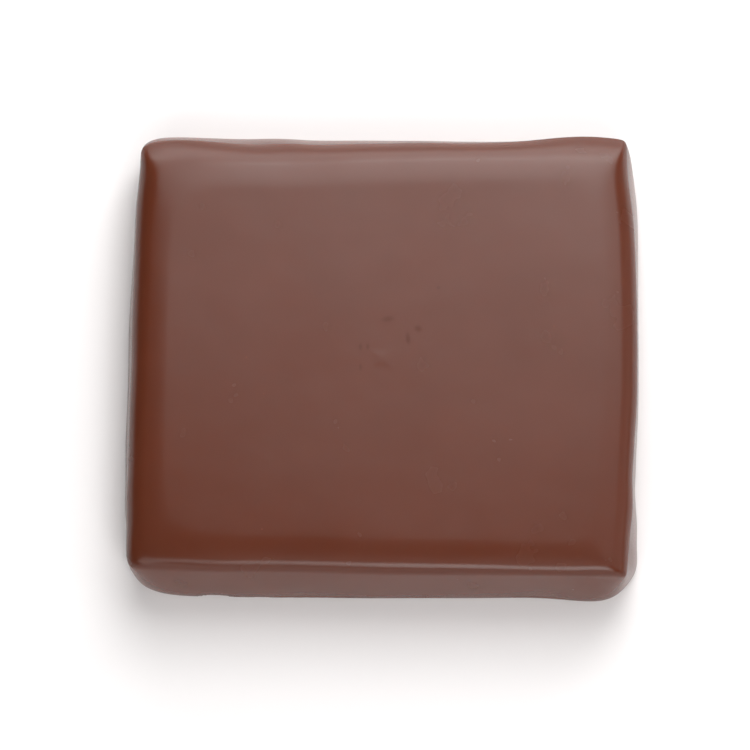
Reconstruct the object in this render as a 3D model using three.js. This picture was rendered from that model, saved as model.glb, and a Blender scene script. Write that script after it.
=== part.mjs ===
// A milk chocolate bonbon: one smooth, uncut, slightly uneven square, built as one closed solid.
// Its nearly flat top rolls over a soft shoulder and a tight edge to a rim line with crisp corners.
// Below the rim, gently rounded walls run out to a foot line with softer corners, and the base is flat.
// Millimetres, +Z up, front at -Y. The finished part stands on z = 0, centred on x = y = 0.
import * as THREE from "three";

const { clamp, degToRad, lerp } = THREE.MathUtils;

// Driving sizes
const HEIGHT = 5.4; // base to the middle of the top
const HALF_WIDTH = 16; // nominal halves: the real outline is the rim and foot lines below
const HALF_DEPTH = 14.6;
const CROWN = 0.1; // how far the top sinks from its middle to its edge
const CORNER_SAG = 0.25; // how much further it sinks at the four corners
const FOOT_RADIUS = 0.3; // rounding between wall and base
const WALL_FOOT_TILT = degToRad(90); // the walls end upright
const SHOULDER_TILT = degToRad(1); // slope where the flat top ends and the shoulder starts
const ROLL_TILT = degToRad(12); // slope where the wide shoulder becomes the tight edge

// How square a corner is, as the power of a rounded outline: 2 is an ellipse, 80 a crisp corner.
const SHOULDER_SQUARENESS = 18;
const RIM_SQUARENESS = [32, 40, 80, 110]; // back right, back left, front left, front right
const FOOT_SQUARENESS = 13;
const HEIGHT_BLEND = 10; // the same kind of power for how sides of unlike height meet

// Each side as it is seen looking out from the middle. A line across the side is given by its
// reach from the middle, its lean (how much further it reaches at its counter-clockwise end) and
// its bow (how much further it reaches halfway). A bulge is local: where along the side, how wide,
// how far out, and how much it pushes the rim and the foot line.
const SIDES = [
  {
    facing: 0, // right
    half: HALF_DEPTH,
    across: HALF_WIDTH,
    rim: { reach: 15.2, lean: 0.19, bow: 0.63 },
    foot: { reach: 15.83, lean: 0.27, bow: 0.27 },
    shoulderRun: 1.3,
    edgeRadius: 0.93,
    wallTilt: degToRad(80),
    bulges: [
      { at: -5.2, width: 1.7, out: -0.1, rim: 1, foot: 1 },
      { at: -11.4, width: 1.7, out: 0.15, rim: 0, foot: 1 },
    ],
  },
  {
    facing: 90, // back
    half: HALF_WIDTH,
    across: HALF_DEPTH,
    rim: { reach: 14.24, lean: -0.32, bow: 0.25 },
    foot: { reach: 15.19, lean: 0.25, bow: -0.12 },
    shoulderRun: 1.4,
    edgeRadius: 2.4,
    wallTilt: degToRad(78),
    bulges: [
      { at: -13, width: 3.4, out: 0.32, rim: 1, foot: 0 },
      { at: 13.4, width: 3.7, out: 0.49, rim: 1, foot: 0 },
    ],
  },
  {
    facing: 180, // left
    half: HALF_DEPTH,
    across: HALF_WIDTH,
    rim: { reach: 15.29, lean: 0.26, bow: 0.24 },
    foot: { reach: 15.51, lean: 0.23, bow: 0.53 },
    shoulderRun: 1.5,
    edgeRadius: 0.95,
    wallTilt: degToRad(80),
    bulges: [{ at: 5.8, width: 3, out: 0.06, rim: 0, foot: 1 }],
  },
  {
    facing: 270, // front
    half: HALF_WIDTH,
    across: HALF_DEPTH,
    rim: { reach: 13.39, lean: 0.22, bow: 0.08 },
    foot: { reach: 14.02, lean: 0.03, bow: 0.15 },
    shoulderRun: 1.5,
    edgeRadius: 0.95,
    wallTilt: degToRad(71),
    bulges: [{ at: 14.5, width: 3, out: 0.41, rim: 0, foot: 1 }],
  },
];

// Mesh fineness
const POINTS_A_SIDE = 34;
const TOP_RINGS = 5;
const SHOULDER_STEPS = 4;
const EDGE_STEPS = 8;
const WALL_STEPS = 6;
const FOOT_STEPS = 3;
const CORNER_CROWDING = 0.6; // 0 spaces the points evenly along a side, 1 crowds them at its ends

// How far from its own middle a side still shapes the outline: it drops out of directions that are
// all but parallel to it, and its lines are followed a little past its two ends.
const LEAST_FACING = 0.02;
const PAST_THE_END = 1.1;

// How far out and how far down an arc of the given radius comes between two slopes.
function arc(radius, fromTilt, toTilt) {
  return {
    out: radius * (Math.sin(toTilt) - Math.sin(fromTilt)),
    down: radius * (Math.cos(fromTilt) - Math.cos(toTilt)),
  };
}

// One side's section, from the edge of the flat top to the flat base. Every stop has its inset
// from the line it is measured from, its share of the way from the rim line to the foot line, and
// its height.
function section(side) {
  const shoulderRadius = side.shoulderRun / (Math.sin(ROLL_TILT) - Math.sin(SHOULDER_TILT));
  const shoulder = arc(shoulderRadius, SHOULDER_TILT, ROLL_TILT);
  const edge = arc(side.edgeRadius, ROLL_TILT, side.wallTilt);
  const wall = arc(1, side.wallTilt, WALL_FOOT_TILT);
  const rimHeight = HEIGHT - shoulder.down - edge.down;
  const stops = [];
  for (let i = 0; i <= SHOULDER_STEPS; i += 1) {
    const here = arc(shoulderRadius, SHOULDER_TILT, lerp(SHOULDER_TILT, ROLL_TILT, i / SHOULDER_STEPS));
    stops.push({ inset: shoulder.out - here.out + edge.out, toFoot: 0, z: HEIGHT - here.down });
  }
  for (let i = 1; i <= EDGE_STEPS; i += 1) {
    const here = arc(side.edgeRadius, ROLL_TILT, lerp(ROLL_TILT, side.wallTilt, i / EDGE_STEPS));
    stops.push({ inset: edge.out - here.out, toFoot: 0, z: HEIGHT - shoulder.down - here.down });
  }
  for (let i = 1; i <= WALL_STEPS; i += 1) {
    const here = arc(1, side.wallTilt, lerp(side.wallTilt, WALL_FOOT_TILT, i / WALL_STEPS));
    const z = lerp(rimHeight, FOOT_RADIUS, here.down / wall.down);
    stops.push({ inset: 0, toFoot: here.out / wall.out, z });
  }
  for (let i = 1; i <= FOOT_STEPS; i += 1) {
    const turn = ((i / FOOT_STEPS) * Math.PI) / 2;
    const inset = FOOT_RADIUS * (1 - Math.cos(turn));
    stops.push({ inset, toFoot: 1, z: FOOT_RADIUS * (1 - Math.sin(turn)) });
  }
  return stops;
}

// How square the corners are at a stop. They grow crisp over the shoulder and half of the edge,
// and soften again down the wall.
function squareness(stop, quarter) {
  const crisp = clamp(stop / (SHOULDER_STEPS + EDGE_STEPS / 2), 0, 1);
  const wall = clamp((stop - SHOULDER_STEPS - EDGE_STEPS) / WALL_STEPS, 0, 1);
  const upper = lerp(1 / SHOULDER_SQUARENESS, 1 / RIM_SQUARENESS[quarter], crisp);
  return 1 / lerp(upper, 1 / FOOT_SQUARENESS, wall);
}

// Quarters of the plan are numbered counter-clockwise from the back right.
function quarterOf(x, y) {
  if (y >= 0) return x >= 0 ? 0 : 1;
  return x < 0 ? 2 : 3;
}

// How far a side's rim or foot line reaches from the middle, at a distance along the side.
function reachOf(side, line, along) {
  const part = along / side.half;
  const { reach, lean, bow } = side[line];
  const local = side.bulges.map((b) => b[line] * b.out * Math.exp(-(((along - b.at) / b.width) ** 2)));
  return local.reduce((sum, out) => sum + out, reach + lean * part + bow * (1 - part * part));
}

// Directions from the middle, counter-clockwise from the front right corner of the nominal
// rectangle, closer together towards its corners.
function directions() {
  const angles = [];
  for (const side of SIDES) {
    for (let i = 0; i < POINTS_A_SIDE; i += 1) {
      const even = (2 * i) / POINTS_A_SIDE - 1;
      const along = side.half * lerp(even, Math.sin((even * Math.PI) / 2), CORNER_CROWDING);
      angles.push(degToRad(side.facing) + Math.atan2(along, side.across));
    }
  }
  return angles;
}

// How far the top sinks below its middle: a low crown, and a sag at the corners.
function sinkAt(x, y) {
  const [u, v] = [(x / HALF_WIDTH) ** 2, (y / HALF_DEPTH) ** 2];
  return (CROWN * (u + v)) / 2 + CORNER_SAG * (u * v) ** 2;
}

// The surface point at one stop of the sections in one direction. The outline there is a power
// mean of the lines of the four sides, which rounds the corners between them. Heights are blended
// the same way and then pressed down by the sink of the top.
function surfacePoint(sections, stop, angle) {
  const [cos, sin] = [Math.cos(angle), Math.sin(angle)];
  const power = squareness(stop, quarterOf(cos, sin));
  const pulls = SIDES.map((side, k) => {
    const turn = angle - degToRad(side.facing);
    if (Math.cos(turn) < LEAST_FACING) return 0;
    const end = PAST_THE_END * side.half;
    const along = clamp(side.across * Math.tan(turn), -end, end);
    const { inset, toFoot } = sections[k][stop];
    const reach = lerp(reachOf(side, "rim", along), reachOf(side, "foot", along), toFoot);
    return Math.cos(turn) / (reach - inset);
  });
  const strongest = Math.max(...pulls);
  const total = pulls.reduce((sum, pull) => sum + (pull / strongest) ** power, 0);
  const radius = 1 / (strongest * total ** (1 / power));
  const shares = pulls.map((pull) => (pull / strongest) ** HEIGHT_BLEND);
  const whole = shares.reduce((sum, share) => sum + share, 0);
  const height = shares.reduce((sum, share, k) => sum + (share / whole) * sections[k][stop].z, 0);
  const [x, y] = [radius * cos, radius * sin];
  return new THREE.Vector3(x, y, height * (1 - sinkAt(x, y) / HEIGHT));
}

// All rings of points, from near the middle of the top over the edge and down to the base.
function rings() {
  const sections = SIDES.map(section);
  const outer = sections[0].map((_, stop) => directions().map((a) => surfacePoint(sections, stop, a)));
  const inner = [];
  for (let i = 1; i <= TOP_RINGS; i += 1) {
    const share = i / (TOP_RINGS + 1);
    const flat = outer[0].map((p) => [p.x * share, p.y * share]);
    inner.push(flat.map(([x, y]) => new THREE.Vector3(x, y, HEIGHT - sinkAt(x, y))));
  }
  return [...inner, ...outer];
}

// Joins the rings with triangles, and the first ring with a point in the middle of the top. On
// the base, each quarter of the last ring fans to one corner of an inner rectangle, whose two
// halves are the middle of the base.
function closedMesh(loops) {
  const points = loops.flat();
  const around = loops[0].length;
  const faces = [];
  const middle = points.push(new THREE.Vector3(0, 0, HEIGHT)) - 1;
  const inner = points.length;
  for (const [x, y] of [[1, 1], [-1, 1], [-1, -1], [1, -1]]) {
    points.push(new THREE.Vector3((x * HALF_WIDTH) / 2, (y * HALF_DEPTH) / 2, 0));
  }
  const last = (loops.length - 1) * around;
  for (let j = 0; j < around; j += 1) {
    const next = (j + 1) % around;
    faces.push(middle, j, next);
    for (let i = 0; i + 1 < loops.length; i += 1) {
      const [a, b] = [i * around + j, i * around + next];
      faces.push(a, a + around, b, b, a + around, b + around);
    }
    const here = quarterOf(points[last + j].x, points[last + j].y);
    const there = quarterOf(points[last + next].x, points[last + next].y);
    faces.push(last + j, inner + here, last + next);
    if (here !== there) faces.push(inner + here, inner + there, last + next);
  }
  faces.push(inner, inner + 3, inner + 2, inner, inner + 2, inner + 1);
  return { points, faces };
}

function bonbonGeometry() {
  const { points, faces } = closedMesh(rings());
  const geometry = new THREE.BufferGeometry().setFromPoints(points);
  geometry.setIndex(faces);
  geometry.computeBoundingBox();
  const middle = geometry.boundingBox.getCenter(new THREE.Vector3());
  geometry.translate(-middle.x, -middle.y, -geometry.boundingBox.min.z);
  geometry.computeVertexNormals();
  return geometry;
}

const milkChocolate = new THREE.MeshStandardMaterial({
  color: new THREE.Color(0.114, 0.032, 0.019),
  roughness: 0.35,
  metalness: 0,
});

const bonbon = new THREE.Mesh(bonbonGeometry(), milkChocolate);
bonbon.name = "bonbon";

const group = new THREE.Group();
group.add(bonbon);

export default group;
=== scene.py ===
import bpy
import numpy as np
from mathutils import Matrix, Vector


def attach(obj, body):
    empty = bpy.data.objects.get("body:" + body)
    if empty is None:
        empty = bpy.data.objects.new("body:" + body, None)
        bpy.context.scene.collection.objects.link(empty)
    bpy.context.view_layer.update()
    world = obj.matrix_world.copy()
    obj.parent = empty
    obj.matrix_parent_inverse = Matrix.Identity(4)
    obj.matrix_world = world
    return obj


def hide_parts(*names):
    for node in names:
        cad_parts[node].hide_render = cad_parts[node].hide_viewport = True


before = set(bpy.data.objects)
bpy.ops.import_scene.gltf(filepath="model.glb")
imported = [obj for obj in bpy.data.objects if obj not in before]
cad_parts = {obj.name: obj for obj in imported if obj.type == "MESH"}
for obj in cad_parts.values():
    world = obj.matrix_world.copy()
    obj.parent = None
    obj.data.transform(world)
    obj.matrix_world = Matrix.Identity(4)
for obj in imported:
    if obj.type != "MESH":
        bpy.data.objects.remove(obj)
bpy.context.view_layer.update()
scene = bpy.context.scene
scene.view_settings.view_transform = "Standard"


# ---- Camera ---------------------------------------------------------------------------------
# Looks down on the bonbon from straight in front of it, at 77 degrees above the floor. The
# 36 mm film and the lens give 16 pixels of the 750 to each millimetre at the aim point. Its
# places and distances are in metres.
MILLIMETRES_A_METRE = 1000
CAMERA_HEIGHT_ANGLE = np.radians(77)
CAMERA_DISTANCE = 0.350
CAMERA_AIM = Vector((-0.000418, -0.000904, 0.0027))
FILM = 36.0
PIXELS_ACROSS, PIXELS_A_MILLIMETRE = 750, 16

picture_across = PIXELS_ACROSS / PIXELS_A_MILLIMETRE / MILLIMETRES_A_METRE
lens = bpy.data.cameras.new("camera")
lens.sensor_width = FILM
lens.lens = FILM * CAMERA_DISTANCE / picture_across
lens.clip_start = 0.01
camera = bpy.data.objects.new("camera", lens)
towards = Vector((0, -np.cos(CAMERA_HEIGHT_ANGLE), np.sin(CAMERA_HEIGHT_ANGLE)))
camera.location = CAMERA_AIM + CAMERA_DISTANCE * towards
camera.rotation_euler = towards.to_track_quat("Z", "Y").to_euler()
scene.collection.objects.link(camera)
scene.camera = camera


# ---- Bonbon ---------------------------------------------------------------------------------
# One uncut square of milk chocolate in a poured coat of the same. The coat has set with a nearly
# flat top, a wide soft shoulder, a tight rolled edge, gently rounded walls, a small radius at the
# foot and a flat base.

# Millimetres. The crown is how far the top sinks towards its corners, and the sag how much more
# the corners themselves do. The solid's middle is that of its box in plan, before it is centred.
HEIGHT = 5.4
HALF_WIDTH, HALF_DEPTH = 16.0, 14.6
CROWN, CORNER_SAG, FOOT_RADIUS = 0.1, 0.25, 0.3
SOLID_MIDDLE = (0.028, 0.464)

# How steep the coat is where the shoulder starts, where the rolled edge starts and at the foot.
SHOULDER_TILT, ROLL_TILT, WALL_END_TILT = np.radians(1), np.radians(12), np.radians(84)

# How crisp the corners are: back right, back left, front left and front right.
SHOULDER_SQUARENESS = np.array([18, 18, 11, 36])
RIM_SQUARENESS = np.array([80, 80, 34, 110])
FOOT_SQUARENESS = np.array([13, 13, 13, 14.6])
HEIGHT_BLEND = 10  # how quickly, at a corner, one side's height gives way to the next one's

# The sides, in millimetres and degrees, counter-clockwise from the right. "half" is half a side's
# length, "across" its distance from the middle, and the tilt of the wall its slope at the rim. A
# rim or foot line is its reach at the ends, how much further out the end ahead lies, and how much
# further the middle. A bulge is its place along the side, its width, how far it comes out, and
# its share at the top's edge, at the rim and at the foot.
SIDES = [
    {
        "facing": 0,  # right
        "half": HALF_DEPTH,
        "across": HALF_WIDTH,
        "rim": (15.31, 0.21, 0.63),
        "foot": (15.91, 0.27, 0.27),
        "shoulder_run": 1.3,
        "edge_radius": 1.4,
        "wall_tilt": 74,
        "bulges": [
            (-5.2, 1.7, -0.06, 0.5, 1, 1),
            (-7.3, 1.2, -0.06, 0.5, 1, 1),
            (-9.6, 1.2, 0.1, 0, 0.5, 1),
            (-12.4, 1.7, 0.3, 0, 0, 1),
            (11.5, 2.2, -0.07, 1, 1, 0),
            (12.7, 1.7, -0.08, 0.5, 1, 1),
        ],
    },
    {
        "facing": 90,  # back
        "half": HALF_WIDTH,
        "across": HALF_DEPTH,
        "rim": (13.91, -0.32, 0.25),
        "foot": (15.31, 0.25, -0.12),
        "shoulder_run": 1.4,
        "edge_radius": 2.4,
        "wall_tilt": 58,
        "bulges": [
            (-13, 3.4, 0.42, 0.25, 1, 0),
            (13.4, 3.5, 0.64, 0.25, 1, 0),
            (6.1, 1.7, 0.14, 0, 1, 0.7),
            (5, 2.6, -0.08, 1, 0, 0),
            (-4.9, 1.8, -0.07, 0, 1, 0.6),
        ],
    },
    {
        "facing": 180,  # left
        "half": HALF_DEPTH,
        "across": HALF_WIDTH,
        "rim": (15.5, 0.26, 0.16),
        "foot": (15.46, 0.23, 0.53),
        "shoulder_run": 1.2,
        "edge_radius": 1.5,
        "wall_tilt": 80,
        "bulges": [
            (5.8, 3, 0.06, 0, 0, 1),
            (8.5, 1.4, 0.07, 0, 1, 1),
            (0.5, 2.6, -0.07, 0.5, 1, 1),
            (-11, 4, -0.1, 0, 0, 1),
            (-13.5, 2.2, -0.16, 1, 1, 0),
        ],
    },
    {
        "facing": 270,  # front
        "half": HALF_WIDTH,
        "across": HALF_DEPTH,
        "rim": (13.39, 0.22, 0.08),
        "foot": (14.02, 0.03, 0.15),
        "shoulder_run": 1.5,
        "edge_radius": 0.95,
        "wall_tilt": 71,
        "bulges": [
            (14.5, 3, 0.41, 0, 0, 1),
            (12.5, 6, 0.16, 1, 0.4, 0),
            (1, 4, 0.04, 1, 1, 0),
            (-11.4, 2.5, 0.08, 1, 1, 0),
        ],
    },
]

# The surface is a grid of rings around the middle. Points crowd a little towards the corners,
# and the wall's rings towards the foot.
POINTS_A_SIDE = 110
TOP_RINGS, SHOULDER_STEPS, EDGE_STEPS, WALL_STEPS, FOOT_STEPS, BASE_RINGS = 30, 18, 30, 30, 8, 8
CORNER_CROWDING, WALL_CROWDING = 0.6, 1.6


def arc(radius, from_tilt, to_tilt):
    """How far out and how far down an arc of that radius comes between two slopes."""
    out = radius * (np.sin(to_tilt) - np.sin(from_tilt))
    down = radius * (np.cos(from_tilt) - np.cos(to_tilt))
    return out, down


def crowded_to_the_foot(share):
    """A share of the way down the wall, moved to 1 - (1 - share) to the power of the crowding."""
    return 1 - (1 - share) ** WALL_CROWDING


def section(side):
    """One side's section, from the edge of the flat top to the base: four arcs in a row, of which
    the wall's is stretched to fit. Each stop has its inset from its line, its share of the way
    from the rim line to the foot line, and its height."""
    wall_tilt, upright = np.radians(side["wall_tilt"]), np.radians(90)
    shoulder_radius = side["shoulder_run"] / (np.sin(ROLL_TILT) - np.sin(SHOULDER_TILT))
    shoulder_tilts = np.linspace(SHOULDER_TILT, ROLL_TILT, SHOULDER_STEPS + 1)
    shoulder_out, shoulder_down = arc(shoulder_radius, SHOULDER_TILT, shoulder_tilts)
    edge_tilts = np.linspace(ROLL_TILT, wall_tilt, EDGE_STEPS + 1)[1:]
    edge_out, edge_down = arc(side["edge_radius"], ROLL_TILT, edge_tilts)
    down_the_wall = crowded_to_the_foot(np.linspace(0, 1, WALL_STEPS + 1)[1:])
    wall_out, wall_down = arc(1, wall_tilt, wall_tilt + (WALL_END_TILT - wall_tilt) * down_the_wall)
    turn = np.linspace(0, upright, FOOT_STEPS + 1)[1:]
    rim_height = HEIGHT - shoulder_down[-1] - edge_down[-1]
    inset = np.concatenate([
        shoulder_out[-1] - shoulder_out + edge_out[-1],
        edge_out[-1] - edge_out,
        np.zeros(WALL_STEPS),
        FOOT_RADIUS * (1 - np.cos(turn)),
    ])
    to_foot = np.concatenate([
        np.zeros(SHOULDER_STEPS + 1 + EDGE_STEPS),
        wall_out / wall_out[-1],
        np.ones(FOOT_STEPS),
    ])
    height = np.concatenate([
        HEIGHT - shoulder_down,
        HEIGHT - shoulder_down[-1] - edge_down,
        rim_height + (FOOT_RADIUS - rim_height) * wall_down / wall_down[-1],
        FOOT_RADIUS * (1 - np.sin(turn)),
    ])
    return inset, to_foot, height


def sink(x, y):
    """How far the top sinks below its middle. With u and v the squares of x and y as shares of
    their halves, this is crown * (u + v) / 2 + sag * (u * v) squared."""
    u, v = (x / HALF_WIDTH) ** 2, (y / HALF_DEPTH) ** 2
    return CROWN * (u + v) / 2 + CORNER_SAG * (u * v) ** 2


def directions():
    """The directions of a ring's points, by tangent along each side in turn. The way along a side
    is a mix of even steps and of the sine of a quarter turn, which crowds towards its ends."""
    even = 2 * np.arange(POINTS_A_SIDE) / POINTS_A_SIDE - 1
    spread = (1 - CORNER_CROWDING) * even + CORNER_CROWDING * np.sin(even * np.pi / 2)
    return np.concatenate([
        np.radians(side["facing"]) + np.arctan2(side["half"] * spread, side["across"])
        for side in SIDES
    ])


def corner_power(angle, stop):
    """How crisp the corner nearest to each direction is at each stop. One over the power goes
    evenly from the shoulder's to the rim's by the middle of the rolled edge, and on down the wall
    to the foot's."""
    quarter = np.floor(np.mod(angle, 2 * np.pi) / (np.pi / 2)).astype(int) % len(SIDES)
    crisp = np.clip(stop / (SHOULDER_STEPS + EDGE_STEPS / 2), 0, 1)
    wall = crowded_to_the_foot(np.clip((stop - SHOULDER_STEPS - EDGE_STEPS) / WALL_STEPS, 0, 1))
    upper = (1 - crisp) / SHOULDER_SQUARENESS[quarter] + crisp / RIM_SQUARENESS[quarter]
    return 1 / ((1 - wall) * upper + wall / FOOT_SQUARENESS[quarter])


PAST_THE_CORNER = 1.1  # how far a side's lines run on, in halves of its length


def reach_and_height(side, turn, stop):
    """One side's reach and height at every stop. Its lines are reach + lean * part + bow * (1 -
    part squared) + bulges, where part runs from -1 to 1 along it and a bulge is out * exp(-(way
    from its place / width) squared). The bulges change from the top's to the rim's share over the
    rolled edge, and the reach from the rim line to the foot line down the wall."""
    end = PAST_THE_CORNER * side["half"]
    along = np.clip(side["across"] * np.tan(turn), -end, end)
    part = along / side["half"]
    swell = {"top": 0, "rim": 0, "foot": 0}
    for at, width, out, *shares in side["bulges"]:
        bulge = out * np.exp(-((along - at) / width) ** 2)
        for name, share in zip(("top", "rim", "foot"), shares):
            swell[name] = swell[name] + share * bulge
    lines = {}
    for name in ("rim", "foot"):
        reach, lean, bow = side[name]
        lines[name] = reach + lean * part + bow * (1 - part ** 2) + swell[name]
    rolled = np.clip((stop - SHOULDER_STEPS) / EDGE_STEPS, 0, 1) ** 2
    rim = lines["rim"] + (1 - rolled) * (swell["top"] - swell["rim"])
    inset, to_foot, height = (values[:, None] for values in section(side))
    return rim + to_foot * (lines["foot"] - rim) - inset, height


LEAST_FACING = 0.02  # a side counts only in directions whose cosine to its own is above this


def outer_rings():
    """Rings of points from the edge of the flat top down to the base. In each direction, one over
    the radius, to a power, is the sum of the four sides' cos(turn) / reach to that power: the
    higher it is, the crisper the corner. Heights are weighed by the same to a fixed power."""
    angle = directions()
    stop = np.arange(SHOULDER_STEPS + 1 + EDGE_STEPS + WALL_STEPS + FOOT_STEPS)[:, None]
    pulls, heights = [], []
    for side in SIDES:
        turn = angle - np.radians(side["facing"])
        turn = np.arctan2(np.sin(turn), np.cos(turn))
        faces = np.cos(turn) > LEAST_FACING
        reach, height = reach_and_height(side, np.where(faces, turn, 0), stop)
        pulls.append(np.where(faces, np.cos(turn), 0) / reach)
        heights.append(height)
    pulls = np.array(pulls)
    strongest = pulls.max(0)
    power = corner_power(angle, stop)
    total = ((pulls / strongest) ** power).sum(0)
    radius = 1 / (strongest * total ** (1 / power))
    shares = (pulls / strongest) ** HEIGHT_BLEND
    z = (shares * np.array(heights)).sum(0) / shares.sum(0)
    x, y = radius * np.cos(angle), radius * np.sin(angle)
    return np.stack([x, y, z * (1 - sink(x, y) / HEIGHT)], axis=2)


def closed_rings():
    """All rings, from the middle of the top, over the edge, and under the base to its middle. The
    top's and the base's are even shares of the nearest outer ring."""
    outer = outer_rings()
    share = (np.arange(1, TOP_RINGS + 1) / (TOP_RINGS + 1))[:, None]
    x, y = outer[0, :, 0] * share, outer[0, :, 1] * share
    top = np.stack([x, y, HEIGHT - sink(x, y)], axis=2)
    share = (np.arange(BASE_RINGS, 0, -1) / (BASE_RINGS + 1))[:, None, None]
    return np.concatenate([top, outer, outer[-1] * share])


def outward(loops):
    """The direction that faces out at every point: the cross product of the way to the next ring
    and the way along its own, brought to length one."""
    across = np.gradient(loops, axis=0)
    around = np.roll(loops, -1, axis=1) - np.roll(loops, 1, axis=1)
    out = np.cross(across, around)
    shortest = 1e-9  # keeps a point whose neighbours meet from dividing by nothing
    return out / np.maximum(np.linalg.norm(out, axis=2, keepdims=True), shortest)


# The waves' lengths, how far each lifts the skin on the top and how much more on the wall, how
# far below the top this starts and over what depth it sets in, and over what height above the
# base all waves die out.
WAVE_LENGTHS = np.linspace(5, 13, 9)
TOP_WAVE, MORE_ON_THE_WALL = 0.004, 0.006
WALL_WAVE_START, WALL_WAVE_RUN, STILL_FOOT = 0.6, 0.8, 0.6


def hand_poured(loops):
    """Lifts and sinks the skin by a few hundredths of a millimetre, by a sum of slow sine waves
    that run random ways: a little more on the walls than on the top, and not on the base."""
    waves = np.random.default_rng(4)
    height = loops[:, :, 2]
    rise = np.zeros(height.shape)
    for length in WAVE_LENGTHS:
        way = waves.normal(size=3)
        way *= 2 * np.pi / length / np.linalg.norm(way)
        rise += np.sin(loops @ way + waves.uniform(0, 2 * np.pi))
    on_the_wall = np.clip((HEIGHT - WALL_WAVE_START - height) / WALL_WAVE_RUN, 0, 1)
    amount = (TOP_WAVE + MORE_ON_THE_WALL * on_the_wall) * np.clip(height / STILL_FOOT, 0, 1)
    return loops + outward(loops) * (amount * rise)[:, :, None]


# The middle, half length, height and depth of each arch, how softly its border sets in, and how
# wide a strip at the front it is sought in.
ARCHES = [(-10.35, 1.25, 0.62, 0.3), (-7.45, 0.9, 0.34, 0.2)]
ARCH_SOFTNESS, FRONT_STRIP = 0.12, 2.5


def lifted_foot(loops):
    """Two short stretches at the front where the coat doesn't quite reach the floor: below a low
    arch, height * (1 - (way from its middle / half length) squared), the foot is pushed in."""
    x, y, z = loops[:, :, 0], loops[:, :, 1], loops[:, :, 2]
    pushed = np.zeros(x.shape)
    for middle, half_length, arch_height, depth in ARCHES:
        span = np.clip(1 - ((x - middle) / half_length) ** 2, 0, 1)
        pushed += depth * np.clip((arch_height * span - z) / ARCH_SOFTNESS, 0, 1)
    front = y < -HALF_DEPTH + FRONT_STRIP
    return loops + np.stack([0 * x, pushed * front, 0 * x], axis=2)


def ring_faces(rings, around):
    """Quads between neighbouring rings, and triangles to the middle points of top and base, which
    are the last two points."""
    j = np.arange(around)
    ahead = (j + 1) % around
    start = (np.arange(rings - 1) * around)[:, None]
    quads = np.stack([start + j, start + j + around, start + ahead + around, start + ahead], axis=2)
    last = (rings - 1) * around
    top = np.stack([np.full(around, rings * around), j, ahead], axis=1)
    base = np.stack([np.full(around, rings * around + 1), last + ahead, last + j], axis=1)
    return quads.reshape(-1, 4).tolist() + top.tolist() + base.tolist()


loops = lifted_foot(hand_poured(closed_rings()))
loops[:, :, 2] *= HEIGHT / loops[:, :, 2].max()
points = np.concatenate([loops.reshape(-1, 3), [[0, 0, HEIGHT], [0, 0, 0]]])
points -= [*SOLID_MIDDLE, 0]
mesh = bpy.data.meshes.new("bonbon_chocolate")
mesh.from_pydata((points / MILLIMETRES_A_METRE).tolist(), [], ring_faces(*loops.shape[:2]))
mesh.polygons.foreach_set("use_smooth", np.ones(len(mesh.polygons), bool))
mesh.update()
bonbon = bpy.data.objects.new("bonbon_chocolate", mesh)
scene.collection.objects.link(bonbon)
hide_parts("bonbon")
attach(bonbon, "root")

# Its finish is satin milk chocolate: a warm brown, faintly cloudy, with a soft gloss, tiny pale
# specks and shallow dimples, a few small bare marks that are darker and duller, and light that
# runs a little way under the skin. All patterns are in millimetres on the object.
CHOCOLATE_BROWN = (0.109, 0.0263, 0.0119)
DARKER, PALER = 0.92, 1.08  # the browns of the clouds, as shares of the chocolate brown
HAZE_LOW, HAZE_HIGH = 0.2, 0.8  # where the soft noise of the gloss starts and stops to count
ROUGHNESS_LOW, ROUGHNESS_HIGH = 0.23, 0.28
GLOSS, GLOSS_IN_A_MARK = 0.5, 0.36
SPECK_PALENESS, MARK_DARKNESS = 4, 0.9
FINE_RELIEF, SPECK_RELIEF, DIMPLE_RELIEF = 0.015, 0.5, 0.03  # as shares of the wide relief

chocolate = bpy.data.materials.new("milk_chocolate")
chocolate.use_nodes = True
nodes, links = chocolate.node_tree.nodes, chocolate.node_tree.links
skin = nodes["Principled BSDF"]
skin.inputs["IOR"].default_value = 1.43
skin.inputs["Subsurface Weight"].default_value = 0.3
skin.inputs["Subsurface Radius"].default_value = (1.0, 0.3, 0.12)
skin.inputs["Subsurface Scale"].default_value = 0.0004
mesh.materials.append(chocolate)

place = nodes.new("ShaderNodeTexCoord")
in_millimetres = nodes.new("ShaderNodeVectorMath")
in_millimetres.operation = "SCALE"
in_millimetres.inputs["Scale"].default_value = MILLIMETRES_A_METRE
links.new(place.outputs["Object"], in_millimetres.inputs[0])


def shifted(amount):
    """The place in millimetres, moved so that no two patterns line up."""
    move = nodes.new("ShaderNodeVectorMath")
    move.operation = "ADD"
    move.inputs[1].default_value = (amount, 2 * amount, -amount)
    links.new(in_millimetres.outputs[0], move.inputs[0])
    return move.outputs[0]


def cloud(shift, width, detail):
    """Soft noise whose lumps are about that many millimetres wide, from 0 to 1."""
    noise = nodes.new("ShaderNodeTexNoise")
    noise.inputs["Scale"].default_value = 1 / width
    noise.inputs["Detail"].default_value = detail
    links.new(shifted(shift), noise.inputs["Vector"])
    return noise.outputs["Fac"]


def stretched(value, from_low, from_high, to_low, to_high):
    """A value moved smoothly from one range to another, and held at its ends."""
    step = nodes.new("ShaderNodeMapRange")
    step.interpolation_type = "SMOOTHSTEP"
    for socket, number in zip(step.inputs[1:5], (from_low, from_high, to_low, to_high)):
        socket.default_value = number
    links.new(value, step.inputs["Value"])
    return step.outputs["Result"]


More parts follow.
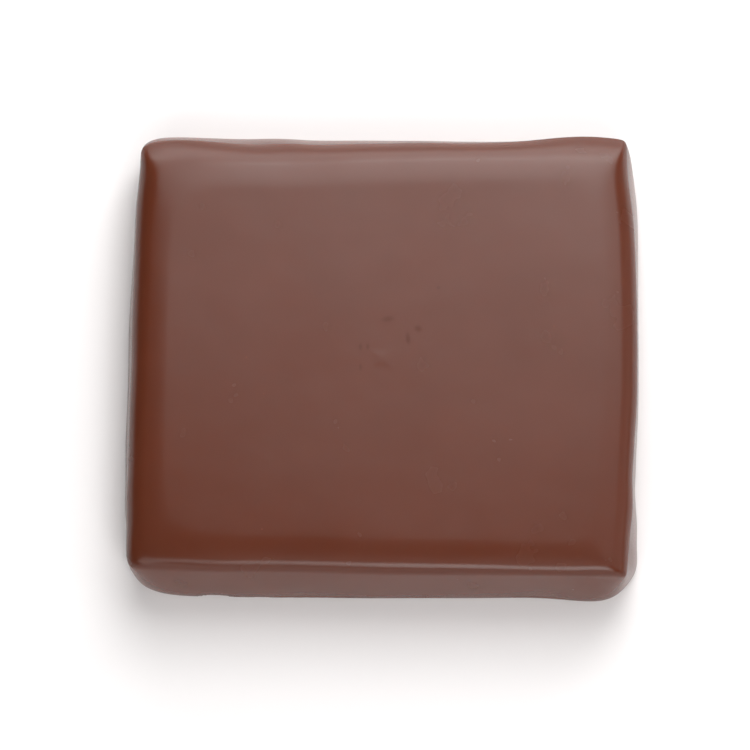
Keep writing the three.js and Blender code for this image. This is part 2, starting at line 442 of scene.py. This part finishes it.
def combined(operation, first, second):
    """Two values put together. The second may be a plain number."""
    sum_of = nodes.new("ShaderNodeMath")
    sum_of.operation = operation
    links.new(first, sum_of.inputs[0])
    if isinstance(second, (int, float)):
        sum_of.inputs[1].default_value = second
    else:
        links.new(second, sum_of.inputs[1])
    return sum_of.outputs[0]


def grains(shift, spacing, radius, share):
    """1 in small round spots and 0 between them. Spots have that spacing and radius in
    millimetres, fade from the core outwards, and only a share of them is there at all."""
    core = 0.4 * radius
    cells = nodes.new("ShaderNodeTexVoronoi")
    cells.inputs["Scale"].default_value = 1 / spacing
    links.new(shifted(shift), cells.inputs["Vector"])
    spot = stretched(cells.outputs["Distance"], core / spacing, radius / spacing, 1, 0)
    pick = nodes.new("ShaderNodeSeparateColor")
    links.new(cells.outputs["Color"], pick.inputs["Color"])
    there = combined("LESS_THAN", pick.outputs["Red"], share)
    return combined("MULTIPLY", spot, there)


# Small bare marks near the middle of the top: place, half width, half depth, and turn.
MARKS = [
    (1.63, 0.81, 0.16, 0.42, 4),
    (0.38, 2.05, 0.42, 0.2, 8),
    (2.27, 1.43, 0.26, 0.24, -20),
    (-1.32, 0.27, 0.12, 0.24, 0),
    (-0.87, 0.27, 0.1, 0.22, 0),
    (-1.32, -1.02, 0.11, 0.24, 0),
    (3.53, 4.05, 0.14, 0.13, 0),
]
MARK_CORE, MARK_BORDER = 0.3, 1.3  # where a mark starts to fade and has gone, in its half sizes


def mark(x, y, half_width, half_depth, degrees):
    """1 in the middle of an oval on the top, falling smoothly to 0 at its border."""
    oval = nodes.new("ShaderNodeMapping")
    oval.vector_type = "TEXTURE"
    oval.inputs["Location"].default_value = (x, y, HEIGHT)
    oval.inputs["Rotation"].default_value = (0, 0, np.radians(degrees))
    oval.inputs["Scale"].default_value = (half_width, half_depth, 1)
    links.new(in_millimetres.outputs[0], oval.inputs["Vector"])
    length = nodes.new("ShaderNodeVectorMath")
    length.operation = "LENGTH"
    links.new(oval.outputs["Vector"], length.inputs[0])
    return stretched(length.outputs["Value"], MARK_CORE, MARK_BORDER, 1, 0)


marks = mark(*MARKS[0])
for numbers in MARKS[1:]:
    marks = combined("MAXIMUM", marks, mark(*numbers))
specks = grains(shift=11, spacing=1.2, radius=0.06, share=0.35)
dimples = grains(shift=23, spacing=2.1, radius=0.15, share=0.3)

clouds = cloud(shift=3, width=4, detail=3)
tone = combined("ADD", clouds, combined("MULTIPLY", specks, SPECK_PALENESS))
tone = combined("SUBTRACT", tone, combined("MULTIPLY", marks, MARK_DARKNESS))
browns = nodes.new("ShaderNodeMix")
browns.data_type = "RGBA"
browns.clamp_factor = False
browns.inputs["A"].default_value = tuple(DARKER * part for part in CHOCOLATE_BROWN) + (1,)
browns.inputs["B"].default_value = tuple(PALER * part for part in CHOCOLATE_BROWN) + (1,)
links.new(tone, browns.inputs["Factor"])
links.new(browns.outputs["Result"], skin.inputs["Base Color"])

haze = cloud(shift=7, width=3, detail=3)
dull = stretched(haze, HAZE_LOW, HAZE_HIGH, ROUGHNESS_LOW, ROUGHNESS_HIGH)
links.new(dull, skin.inputs["Roughness"])
links.new(stretched(marks, 0, 1, GLOSS, GLOSS_IN_A_MARK), skin.inputs["Specular IOR Level"])

fine = cloud(shift=31, width=0.35, detail=3)
relief = cloud(shift=17, width=3, detail=2)
relief = combined("ADD", relief, combined("MULTIPLY", fine, FINE_RELIEF))
relief = combined("ADD", relief, combined("MULTIPLY", specks, SPECK_RELIEF))
relief = combined("SUBTRACT", relief, combined("MULTIPLY", dimples, DIMPLE_RELIEF))
bump = nodes.new("ShaderNodeBump")
bump.inputs["Distance"].default_value = 0.00002
links.new(relief, bump.inputs["Height"])
links.new(bump.outputs["Normal"], skin.inputs["Normal"])


# ---- Floor ----------------------------------------------------------------------------------
# The plain sheet that the bonbon stands on: matt, white with a faint warm tint, and so wide
# that it runs out of the picture on every side.
FLOOR_HALF = 1.0

floor_mesh = bpy.data.meshes.new("floor")
floor_mesh.from_pydata(
    [(x * FLOOR_HALF, y * FLOOR_HALF, 0) for x, y in ((-1, -1), (1, -1), (1, 1), (-1, 1))],
    [],
    [(0, 1, 2, 3)],
)
floor = bpy.data.objects.new("floor", floor_mesh)
scene.collection.objects.link(floor)
white = bpy.data.materials.new("white_floor")
white.use_nodes = True
paper = white.node_tree.nodes["Principled BSDF"]
paper.inputs["Base Color"].default_value = (0.93, 0.905, 0.9, 1)
paper.inputs["Roughness"].default_value = 0.8
paper.inputs["Specular IOR Level"].default_value = 0.2
floor_mesh.materials.append(white)


# ---- Light ----------------------------------------------------------------------------------
# Six soft boxes behind, a little to the right, which draw the highlight along the back edge, four
# in front for the light line there, two at the right, and a very dim room.
LAMP_AIM = Vector((0, 0, 0.003))
ROOM_LIGHT = 0.02


def soft_box(name, turn, height_angle, distance, half_width, half_height, radiance):
    """A rectangular lamp that faces the bonbon. Its turn runs counter-clockwise from the right,
    its half sizes are the angles that it fills, and its light is what a mirror there would show."""
    turn, height_angle = np.radians(turn), np.radians(height_angle)
    lamp = bpy.data.lights.new(name, "AREA")
    lamp.shape = "RECTANGLE"
    lamp.size = 2 * distance * np.tan(np.radians(half_width)) * np.cos(height_angle)
    lamp.size_y = 2 * distance * np.tan(np.radians(half_height))
    lamp.energy = radiance * np.pi * lamp.size * lamp.size_y
    out = Vector((
        np.cos(turn) * np.cos(height_angle),
        np.sin(turn) * np.cos(height_angle),
        np.sin(height_angle),
    ))
    stand = bpy.data.objects.new(name, lamp)
    stand.location = distance * out + LAMP_AIM
    stand.rotation_euler = out.to_track_quat("Z", "Y").to_euler()
    stand.visible_camera = False
    scene.collection.objects.link(stand)


# Turn and height angle in degrees, distance in metres, half sizes in degrees, and radiance.
SOFT_BOXES = {
    "back_wide": (80, 42, 0.2, 38, 32, 2.13),
    "back_mid": (72, 38, 0.2, 24, 9, 2.28),
    "back_core": (78, 50, 0.2, 20, 14, 1.65),
    "back_low": (80, 15, 0.2, 35, 14, 1.55),
    "back_near": (80, 60, 0.13, 30, 22, 0.83),
    "back_top": (80, 74, 0.2, 30, 10, 0.68),
    "front_core": (282, 48, 0.2, 18, 14, 4.7),
    "front_low": (280, 14, 0.2, 40, 12, 1.19),
    "front_top": (280, 66, 0.2, 25, 10, 0.92),
    "front_left": (238, 38, 0.2, 18, 18, 1.65),
    "right": (0, 45, 0.2, 25, 30, 0.61),
    "right_low": (350, 13, 0.2, 40, 11, 0.37),
}
for name, numbers in SOFT_BOXES.items():
    soft_box(name, *numbers)
world = bpy.data.worlds.new("room")
world.use_nodes = True
background = world.node_tree.nodes["Background"]
background.inputs["Color"].default_value = (ROOM_LIGHT, ROOM_LIGHT, ROOM_LIGHT, 1)
scene.world = world
